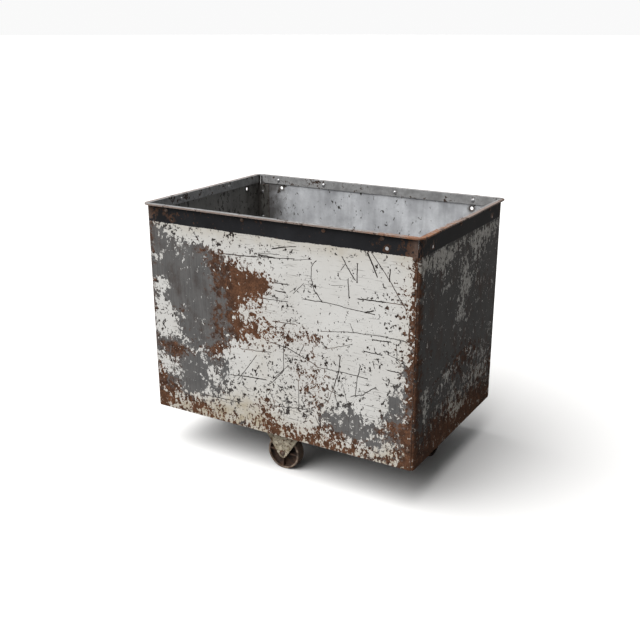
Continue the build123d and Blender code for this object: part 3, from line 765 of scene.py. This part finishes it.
def inward(along, up, free, dents, seed):
    """How far a wall is pushed in: slow waves and a few named dents, none at its fixed edges."""
    hold = ease(free - np.abs(along), 0, 60 * mm) * ease(up, wall_bottom + 25 * mm, wall_bottom + 90 * mm)
    hold *= ease(leg_bottom - up, 0, 45 * mm)
    depth = 0.8 * smooth_noise(along, up, 7.0, seed) + 0.25 * smooth_noise(along, up, 24.0, seed + 5)
    for centre, level, reach_along, reach_up, amount in dents:
        a = (along / mm - centre) / reach_along
        b = ((up - wall_bottom) / mm - level) / reach_up
        depth = depth + amount * np.exp(-(a * a + b * b))
    return depth * mm * hold


def wear_and_shade_fields(mesh, along, up, wear, flat_reach, hole_reach):
    """Store the wall's paint, rust and stain, the dirt on its inside and the painted shade there."""
    along_mm, up_mm = along / mm, (up - wall_bottom) / mm
    over = wear["base"] + 1.35 * ellipse_field(along_mm, up_mm, wear["paint"], 9.0) - 0.47
    limit = np.where(over > 0, wear["whole"], 0.9)
    add_field(mesh, "paint", 0.47 + limit * np.tanh(over / limit))
    rust = np.clip(ellipse_field(along_mm, up_mm, wear["rust"], 12.0), 0, 1.2)
    add_field(mesh, "rust", rust)
    add_field(mesh, "stain", np.clip(ellipse_field(along_mm, up_mm, wear["stain"], 12.0), 0, 1.2))
    add_field(mesh, "chips", ellipse_field(along_mm, up_mm, wear["chips"], 20.0))
    corner = ease(np.abs(along_mm), flat_reach / mm - 70, flat_reach / mm)
    near_top = ease(up_mm, 505, 550)
    from_hole = np.hypot(np.abs(along) - hole_reach, up - hole_level) / mm
    hole_ring = np.exp(-((from_hole - 4) / 6) ** 2)
    add_field(mesh, "band_wear", 0.10 + 0.3 * corner + 0.1 * near_top + 0.75 * hole_ring + 0.3 * rust)
    # painted shade: darker towards the bottom of the inside
    low = 0.85 * ease(-up_mm, -430, -230)
    # painted shade near the ends, stronger towards the end with positive along
    near_end = np.where(along_mm > 0, 0.85, 0.4)
    near_end *= ease(np.abs(along_mm), flat_reach / mm - 150, flat_reach / mm - 20)
    # painted shade along the folds
    crease = np.exp(-((np.abs(along_mm) - flat_reach / mm - 5) / 5) ** 2)
    add_field(mesh, "grime", 0.15 + 0.1 * corner + 0.3 * near_top + 0.5 * hole_ring)
    # the shade field: these painted shades, plus dark stains round the holes
    add_field(mesh, "shade", np.clip(low + near_end + 0.8 * crease + 0.8 * hole_ring, 0, 1))


def long_wall(name, outward, dents, wear, scratches, seed):
    """One of the two long flat walls. outward is -1 for the front, 1 for the back."""
    half = front_high.x
    corners = [(-half, wall_bottom), (half, wall_bottom), (half, wall_top), (-half, wall_top)]
    holes = [(side * long_hole_reach, hole_level, hole_radius) for side in (-1, 1)]

    def place(along, up, depth):
        push = inward(along, up, seam_inner, dents, seed)
        return np.column_stack([-outward * along, outward * (half_depth - depth - push), up])

    paths = [scratch_path(scratch) for scratch in scratches]
    paths = [([point + Vector((0, wall_bottom)) for point in path], breadth) for path, breadth in paths]
    mesh, flat = sheet_mesh(name, corners, holes, lines(-half, half, wall_step), up_lines, place,
                            sheet, paths=paths)
    wear_and_shade_fields(mesh, flat[:, 0], flat[:, 1], wear, half, long_hole_reach)
    add_field(mesh, "scratch", np.clip(1 - scratch_nearness(flat, paths), 0, 1))
    skin = painted_wall(name + "_paint", seed)
    return finish_mesh("wall_" + name, mesh, [skin, zinc, steel_edge], "bin", [name])


def end_wall(name, outward, dents, wear, seed):
    """A folded end: its flat, a quarter turn at each side and the flanges behind the long walls."""
    flat_half = flange_y - fold_radius
    turn = fold_radius * math.pi / 2
    reach = half_length - fold_radius - flange_end
    fold, edge = flat_half + turn, flat_half + turn + reach
    low, high = wall_bottom + flange_rise, rim_top - flange_drop
    corners = [(-fold, wall_bottom), (fold, wall_bottom), (fold, low), (edge, low), (edge, high),
               (fold, high), (fold, wall_top), (-fold, wall_top), (-fold, high), (-edge, high),
               (-edge, low), (-fold, low)]
    holes = [(side * end_hole_reach, hole_level, hole_radius) for side in (-1, 1)]
    along_lines = np.concatenate([
        np.linspace(-edge, -fold, 6)[1:-1], np.linspace(-fold, -flat_half, 9)[:-1],
        np.linspace(-flat_half, flat_half, round(2 * flat_half / wall_step) + 1),
        np.linspace(flat_half, fold, 9)[1:], np.linspace(fold, edge, 6)[1:-1]])

    def place(along, up, depth):
        side, far = np.sign(along), np.abs(along)
        angle = np.clip((far - flat_half) / fold_radius, 0, math.pi / 2)
        past = np.clip(far - fold, 0, None)
        radius = fold_radius - depth
        push = inward(along, up, flat_half - 5 * mm, dents, seed)
        out = half_length - fold_radius + radius * np.cos(angle) - past - push
        out = np.where(past > 0, half_length - fold_radius - past, out)
        across = side * (np.minimum(far, flat_half) + radius * np.sin(angle))
        return np.column_stack([outward * out, outward * across, up])

    mesh, flat = sheet_mesh(name, corners, holes, along_lines, up_lines, place, sheet)
    wear_and_shade_fields(mesh, flat[:, 0], flat[:, 1], wear, flat_half, end_hole_reach)
    add_field(mesh, "scratch", np.zeros(len(flat)))
    # the ends' bare steel is darkened by a shade of 0.36: painted shade
    skin = painted_wall(name + "_paint", seed, 1, 0.36, 0.8, 0.58)
    return finish_mesh("wall_" + name, mesh, [skin, shaded_grimy_zinc, steel_edge], "bin", [name])


front_dents = [(-230, 300, 90, 60, 1.4), (190, 420, 60, 80, -0.9), (60, 120, 120, 40, 1.2)]
back_dents = [(-120, 280, 80, 90, 1.6), (220, 180, 70, 60, 1.3)]
right_dents = [(40, 330, 60, 80, 1.8), (-120, 200, 50, 50, 1.4), (120, 120, 70, 40, -1.0)]
left_dents = [(-60, 260, 70, 60, 1.6), (110, 400, 60, 60, 1.2)]
front_wear = {"paint": FRONT_PAINT, "rust": FRONT_RUST, "stain": FRONT_STAIN, "chips": FRONT_CHIPS,
              "base": 1.42, "whole": 0.9}
back_wear = {"paint": BACK_PAINT, "rust": BACK_RUST, "stain": BACK_STAIN, "chips": BACK_CHIPS,
             "base": 1.35, "whole": 0.8}
right_wear = {"paint": END_PAINT, "rust": END_RUST, "stain": END_STAIN, "chips": (),
              "base": -0.74, "whole": 0.34}
left_wear = dict(right_wear, paint=mirrored(END_PAINT), rust=mirrored(END_RUST))
long_wall("front_panel", -1, front_dents, front_wear, FRONT_SCRATCHES, 1.0)
long_wall("back_panel", 1, back_dents, back_wear, (), 11.0)
end_wall("right_end_panel", 1, right_dents, right_wear, 21.0)
end_wall("left_end_panel", -1, left_dents, left_wear, 31.0)


# ---- pieces worked up from the CAD ------------------------------------------------------------

def worked_copy(node, body, material, round_off, slices=(), shift=None):
    """A node's shape with its edges rounded off, sliced where it has to bend, and shaded evenly."""
    work = bmesh.new()
    work.from_mesh(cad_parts[node].data)
    bmesh.ops.remove_doubles(work, verts=work.verts, dist=1e-6)
    bmesh.ops.dissolve_limit(work, angle_limit=math.radians(0.6), verts=work.verts, edges=work.edges)
    for axis, step in slices:
        low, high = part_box(node)
        for level in lines(low[axis], high[axis], step):
            normal = Vector((0, 0, 0))
            normal[axis] = 1
            bmesh.ops.bisect_plane(work, geom=work.verts[:] + work.edges[:] + work.faces[:],
                                   dist=1e-6, plane_co=normal * level, plane_no=normal)
    sharp = [e for e in work.edges if e.is_manifold and e.calc_face_angle(0) > math.radians(32)]
    bmesh.ops.bevel(work, geom=sharp, offset=round_off, segments=2, profile=0.5,
                    affect="EDGES", clamp_overlap=True)
    if shift:
        for vert in work.verts:
            vert.co += shift(vert.co)
    mesh = bpy.data.meshes.new(node)
    work.to_mesh(mesh)
    work.free()
    piece = finish_mesh("shaped_" + node, mesh, [material], body, [node], 40.0)
    even = piece.modifiers.new("even_shading", "WEIGHTED_NORMAL")
    even.keep_sharp = True
    return piece


def rim_bend(co):
    """Knocks in the rim: long waves, and the right end bowed out and down near its middle."""
    wave = 0.45 * noise.noise(Vector((co.x * 6, co.y * 6, 4.0)))
    nick = 0.25 * noise.noise(Vector((co.x * 40, co.y * 40, 9.0)))
    down = wave + nick
    at_right = math.exp(-((co.y - 0.02) / 0.07) ** 2) if co.x > half_length - 8 * mm else 0
    return Vector((0.9 * at_right, 0, down - 1.1 * at_right)) * mm


def rim_steel():
    """Grey zinc on the rim's faces, rubbed brown along its lip, orange rust at the front right."""
    look = Look("rim_steel")
    x, y, _ = look.parts()
    cloud = look.noise(30.0, 7, 0.65)
    fine = look.noise(140.0, 6, 0.7)
    colour = look.mix(look.span(cloud, 0.38, 0.62), (0.27, 0.27, 0.272), (0.47, 0.475, 0.48))
    spots = look.stir(cloud, fine, 0.8)
    spots = look.span(spots, 0.565, 0.62)
    out_x = look.math("SUBTRACT", look.math("ABSOLUTE", x), rim_high.x)
    out_y = look.math("SUBTRACT", look.math("ABSOLUTE", y), -rim_low.y)
    lip = look.math("MAXIMUM", out_x, out_y)
    lip = look.stir(lip, fine, 8 * mm)
    lip = look.span(lip, -3.6 * mm, -0.8 * mm)
    colour = look.mix(look.times(lip, 0.85), colour, (0.245, 0.178, 0.148))
    # rust gathers towards the front right corner and along the right end
    to_right = look.span(x, 0.12, half_length)
    to_front = look.span(y, 0.1, -half_depth)
    rusty = look.times(to_right, look.math("MULTIPLY_ADD", to_front, 0.8, 0.2))
    rusty = look.stir(rusty, look.noise(70.0, 8, 0.72), 2.2)
    rusty = look.span(rusty, 0.44, 0.86)
    colour = look.mix(look.times(rusty, 0.9), colour, (0.25, 0.105, 0.046))
    colour = look.mix(spots, colour, (0.060, 0.036, 0.026))
    worn = look.math("MAXIMUM", rusty, lip)
    normal = look.bump(look.math("SUBTRACT", fine, spots), 0.2 * mm, 0.6)
    return look.finish(colour, look.blend(worn, 0.45, 0.7), look.blend(worn, 0.3, 0.05), normal)


rim_metal = rim_steel()
for side in ("front", "back", "left", "right"):
    axis = 0 if side in ("front", "back") else 1
    worked_copy(f"rim_{side}", "bin", rim_metal, 0.6 * mm, [(axis, 12 * mm)], rim_bend)


def dome(work, centre, normal, radius, height, seed):
    """A hand-set rivet head: a low dome on a short straight edge, not quite round."""
    side = normal.orthogonal().normalized()
    other = normal.cross(side)
    steps, rows = 20, 6
    size = 1 + 0.07 * noise.noise(Vector((seed, 0.3, 0.7)))
    squash = 1 + 0.12 * noise.noise(Vector((0.5, seed, 0.2)))
    lean = Vector((noise.noise(Vector((seed, 3, 1))), noise.noise(Vector((2, seed, 5))))) * 0.10 * radius
    rings = []
    for row in range(rows):
        angle = math.pi / 2 * row / rows
        ring = []
        for k in range(steps):
            turn = 2 * math.pi * k / steps
            uneven = 1 + 0.04 * noise.noise(Vector((math.cos(turn) * 1.5, math.sin(turn) * 1.5, seed)))
            reach = radius * size * uneven * math.cos(angle)
            lift = height * squash * math.sin(angle)
            ring.append(work.verts.new(
                centre + side * (reach * math.cos(turn) + lean.x * math.sin(angle))
                + other * (reach * math.sin(turn) + lean.y * math.sin(angle)) + normal * lift))
        rings.append(ring)
    base = [work.verts.new(v.co - normal * 0.8 * mm) for v in rings[0]]
    rings.insert(0, base)
    for lower, upper in zip(rings, rings[1:]):
        for k in range(steps):
            work.faces.new((lower[k], lower[(k + 1) % steps], upper[(k + 1) % steps], upper[k]))
    tip = work.verts.new(centre + side * lean.x + other * lean.y + normal * height * squash)
    for k in range(steps):
        work.faces.new((rings[-1][k], rings[-1][(k + 1) % steps], tip))
    work.faces.new(base[::-1])


near_wall = 12 * mm


def rivet_row(node, grip, head, tail, materials):
    """Both heads of every rivet in a node, where the CAD has them. Heads are (radius, height)."""
    work = bmesh.new()
    for count, centre in enumerate(islands(node)):
        on_end = abs(abs(centre.x) - half_length) < near_wall
        on_side = abs(abs(centre.y) - half_depth) < near_wall
        axis, reach = (0, half_length) if on_end and not on_side else (1, half_depth)
        normal = Vector((0, 0, 0))
        normal[axis] = math.copysign(1, centre[axis])
        outside = centre.copy()
        outside[axis] = normal[axis] * reach
        first = len(work.faces)
        dome(work, outside, normal, head[0], head[1], count * 1.7 + len(node))
        dome(work, outside - normal * grip, -normal, tail[0], tail[1], count * 2.3 + 40)
        work.faces.ensure_lookup_table()
        middle = first + (len(work.faces) - first) // 2
        for face in work.faces[middle:]:
            face.material_index = 1
    mesh = bpy.data.meshes.new(node)
    work.to_mesh(mesh)
    work.free()
    finish_mesh("headed_" + node, mesh, materials, "bin", [node], 50.0)


rivet_out = worn_steel("rivet_outside", (0.045, 0.030, 0.024), (0.15, 0.11, 0.09), 0.7, 150.0, 0.2, 0.6, 8.0)
rivet_in = worn_steel("rivet_inside", (0.42, 0.42, 0.43), (0.62, 0.63, 0.65), 0.25, 130.0, 0.7, 0.34, 9.0)
rim_leg = 3 * mm
rim_head, seam_head, seam_tail = (5.4 * mm, 2.8 * mm), (4.8 * mm, 2.4 * mm), (4.2 * mm, 1.8 * mm)
rivet_row("rim_rivets", sheet + rim_leg, rim_head, rim_head, [rivet_out, rivet_in])
for side in ("front_left", "front_right", "back_left", "back_right"):
    rivet_row(f"seam_rivets_{side}", 2 * sheet, seam_head, seam_tail, [rivet_out, rivet_in])


# ---- under the box --------------------------------------------------------------------------------

bracket_coat = cream_bracket()
runner_metal = worn_steel("runner_steel", (0.05, 0.043, 0.040), (0.11, 0.095, 0.085),
                          0.7, 40.0, 0.3, 0.6, 12.0)
fastener_metal = worn_steel("fastener_steel", (0.10, 0.07, 0.055), (0.26, 0.21, 0.18),
                            0.65, 140.0, 0.5, 0.5, 13.0)
pin_metal = worn_steel("pin_steel", (0.20, 0.17, 0.15), (0.42, 0.38, 0.34), 0.35, 150.0, 0.8, 0.35, 14.0)
bronze = worn_steel("bush_bronze", (0.24, 0.14, 0.06), (0.45, 0.30, 0.13), 0.1, 120.0, 0.9, 0.32, 15.0)
ball_metal = worn_steel("ball_steel", (0.35, 0.34, 0.33), (0.62, 0.62, 0.62), 0.05, 200.0, 1.0, 0.2, 16.0)
pan_metal = zinc_inside("pan_zinc", (0.30, 0.30, 0.30), (0.16, 0.155, 0.15), 0.66)

worked_copy("floor_pan", "bin", pan_metal, 0.4 * mm)
for node in ("long_runner", "cross_runner_front", "cross_runner_back"):
    worked_copy(node, "bin", runner_metal, 0.8 * mm)
for side in ("front", "back"):
    worked_copy(f"rigid_plate_{side}", "bin", bracket_coat, 0.5 * mm)
    worked_copy(f"bracket_{side}", "bin", bracket_coat, 0.5 * mm)
for side in ("left", "right"):
    worked_copy(f"swivel_plate_{side}", "bin", bracket_coat, 0.5 * mm)
    worked_copy(f"race_cup_{side}", "bin", bracket_coat, 0.3 * mm)
    worked_copy(f"fork_{side}", f"fork_{side}", bracket_coat, 0.5 * mm)


# where a wheel is rubbed: across is from its middle plane, far from its axle
HUB_END, HUB_RADIUS = (13.6 * mm, 14.2 * mm), 14 * mm
RIM_FACE, RIM_RADIUS = (11.5 * mm, 13.0 * mm), (40.0 * mm, 41.5 * mm)
TREAD_RADIUS = (44.6 * mm, 45.6 * mm)


def cast_wheel(side):
    """A wheel as it comes from the sand: corners softened, faces a little uneven."""
    node = f"wheel_{side}"
    work = bmesh.new()
    work.from_mesh(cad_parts[node].data)
    bmesh.ops.remove_doubles(work, verts=work.verts, dist=1e-6)
    welded = bpy.data.meshes.new(node)
    work.to_mesh(welded)
    work.free()
    rough = bpy.data.objects.new(node + "_rough", welded)
    bpy.context.scene.collection.objects.link(rough)
    cells = rough.modifiers.new("cells", "REMESH")
    cells.mode = "VOXEL"
    cells.voxel_size = 1.0 * mm
    soften = rough.modifiers.new("soften", "SMOOTH")
    soften.factor = 0.5
    soften.iterations = 5
    graph = bpy.context.evaluated_depsgraph_get()
    mesh = bpy.data.meshes.new_from_object(rough.evaluated_get(graph), depsgraph=graph)
    bpy.data.objects.remove(rough)
    low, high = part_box(node)
    hub = (low + high) / 2
    axis = 1 if side in ("front", "back") else 0
    places = np.array([tuple(vert.co) for vert in mesh.vertices])
    facing = np.array([tuple(vert.normal) for vert in mesh.vertices])
    offset = places - np.array(hub)
    across = np.abs(offset[:, axis])
    offset[:, axis] = 0
    far = np.linalg.norm(offset, axis=1)
    uneven = np.array([noise.noise(Vector(place) * 90) for place in places])
    mesh.vertices.foreach_set("co", (places + facing * (0.22 * mm * uneven)[:, None]).ravel())
    on_hub = ease(across, *HUB_END) * (far < HUB_RADIUS)
    on_face = ease(far, *RIM_RADIUS) * ease(across, *RIM_FACE)
    patchy = np.clip(0.55 + 1.6 * uneven, 0.15, 1)
    on_tread = ease(far, *TREAD_RADIUS)
    rub = np.maximum(0.35 * on_tread, np.maximum(0.9 * on_face * patchy, 0.5 * on_hub))
    mesh.materials.clear()
    add_field(mesh, "rub", rub)
    finish_mesh("cast_" + node, mesh, [iron], node, [node], 180.0)


iron = cast_iron()
for side in ("front", "back", "left", "right"):
    cast_wheel(side)


def dress(node, material):
    """Give a node of the CAD its finish."""
    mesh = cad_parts[node].data
    mesh.materials.clear()
    mesh.materials.append(material)


for node in ("caster_bolts", "caster_nuts", "caster_washers"):
    dress(node, fastener_metal)
for side in ("front", "back", "left", "right"):
    dress(f"bush_{side}", bronze)
    body = f"fork_{side}" if side in ("left", "right") else "bin"
    worked_copy(f"axle_{side}", body, fastener_metal, 0.8 * mm)
    worked_copy(f"axle_nut_{side}", body, fastener_metal, 0.7 * mm)
    dress(f"axle_washers_{side}", fastener_metal)
for side in ("left", "right"):
    dress(f"kingpin_{side}", pin_metal)
    dress(f"race_balls_{side}", ball_metal)


# ---- studio --------------------------------------------------------------------------------------------

def floor_sheet():
    """A wide pale floor. It looks white, and throws less light back up than it seems to."""
    look = Look("studio_floor")
    seen = look.node("ShaderNodeBsdfDiffuse")
    seen.inputs["Color"].default_value = (0.86, 0.86, 0.86, 1)
    thrown = look.node("ShaderNodeBsdfDiffuse")
    thrown.inputs["Color"].default_value = (0.22, 0.215, 0.21, 1)
    pick = look.node("ShaderNodeMixShader")
    path = look.node("ShaderNodeLightPath")
    output = look.node("ShaderNodeOutputMaterial")
    look.tree.links.new(path.outputs["Is Camera Ray"], pick.inputs[0])
    look.tree.links.new(thrown.outputs[0], pick.inputs[1])
    look.tree.links.new(seen.outputs[0], pick.inputs[2])
    look.tree.links.new(pick.outputs[0], output.inputs["Surface"])
    work = bmesh.new()
    bmesh.ops.create_circle(work, cap_ends=True, radius=80, segments=64)
    mesh = bpy.data.meshes.new("floor")
    work.to_mesh(mesh)
    work.free()
    mesh.materials.append(look.material)
    ground = bpy.data.objects.new("floor", mesh)
    bpy.context.scene.collection.objects.link(ground)


def soft_sun(name, direction, spread, power, colour=(1, 1, 1)):
    """An even, very soft light from one side, like a large diffusing screen far away."""
    data = bpy.data.lights.new(name, "SUN")
    data.angle = math.radians(spread)
    data.energy = power
    data.color = colour
    lamp = bpy.data.objects.new(name, data)
    lamp.location = Vector(direction) * -3
    lamp.rotation_euler = Vector(direction).to_track_quat("-Z", "Y").to_euler()
    bpy.context.scene.collection.objects.link(lamp)


def pale_world(dark, light, seen):
    """Light mostly from the front left, weak near the horizon, and the plain tone seen behind."""
    world = bpy.data.worlds.new("studio")
    world.use_nodes = True
    bpy.context.scene.world = world
    tree = world.node_tree
    tree.nodes.clear()
    place = tree.nodes.new("ShaderNodeTexCoord")
    toward = tree.nodes.new("ShaderNodeVectorMath")
    toward.operation = "DOT_PRODUCT"
    toward.inputs[1].default_value = (-0.62, -0.55, 0.56)
    ramp = tree.nodes.new("ShaderNodeMapRange")
    ramp.inputs["From Min"].default_value = -0.1
    ramp.inputs["To Min"].default_value = dark
    ramp.inputs["To Max"].default_value = light
    parts = tree.nodes.new("ShaderNodeSeparateXYZ")
    rise = tree.nodes.new("ShaderNodeMapRange")
    rise.inputs["From Min"].default_value = 0.02
    rise.inputs["From Max"].default_value = 0.42
    rise.inputs["To Min"].default_value = 0.22
    strength = tree.nodes.new("ShaderNodeMath")
    strength.operation = "MULTIPLY"
    glow = tree.nodes.new("ShaderNodeBackground")
    view = tree.nodes.new("ShaderNodeBackground")
    view.inputs["Color"].default_value = (seen, seen, seen, 1)
    path = tree.nodes.new("ShaderNodeLightPath")
    pick = tree.nodes.new("ShaderNodeMixShader")
    output = tree.nodes.new("ShaderNodeOutputWorld")
    for start, end in ((place.outputs["Generated"], toward.inputs[0]),
                       (toward.outputs["Value"], ramp.inputs["Value"]),
                       (place.outputs["Generated"], parts.inputs[0]),
                       (parts.outputs["Z"], rise.inputs["Value"]),
                       (ramp.outputs["Result"], strength.inputs[0]),
                       (rise.outputs["Result"], strength.inputs[1]),
                       (strength.outputs[0], glow.inputs["Strength"]),
                       (path.outputs["Is Camera Ray"], pick.inputs["Fac"]),
                       (glow.outputs[0], pick.inputs[1]),
                       (view.outputs[0], pick.inputs[2]),
                       (pick.outputs[0], output.inputs["Surface"])):
        tree.links.new(start, end)


floor_sheet()
soft_sun("key", (0.31, 0.44, -0.84), 70, 4.3, (1.0, 0.99, 0.975))
soft_sun("back_fill", (0.25, -0.80, -0.55), 90, 0.3)
pale_world(0.03, 0.84, 0.95)

camera_data = bpy.data.cameras.new("camera")
camera_data.lens = 49.44
camera_data.sensor_width = 36
camera = bpy.data.objects.new("camera", camera_data)
camera.location = (1.1186, -1.9408, 1.1014)
camera.rotation_euler = Vector((-0.4788, 0.8171, -0.3211)).to_track_quat("-Z", "Y").to_euler()
bpy.context.scene.collection.objects.link(camera)
bpy.context.scene.camera = camera
bpy.context.scene.view_settings.view_transform = "Standard"

bpy.context.view_layer.update()
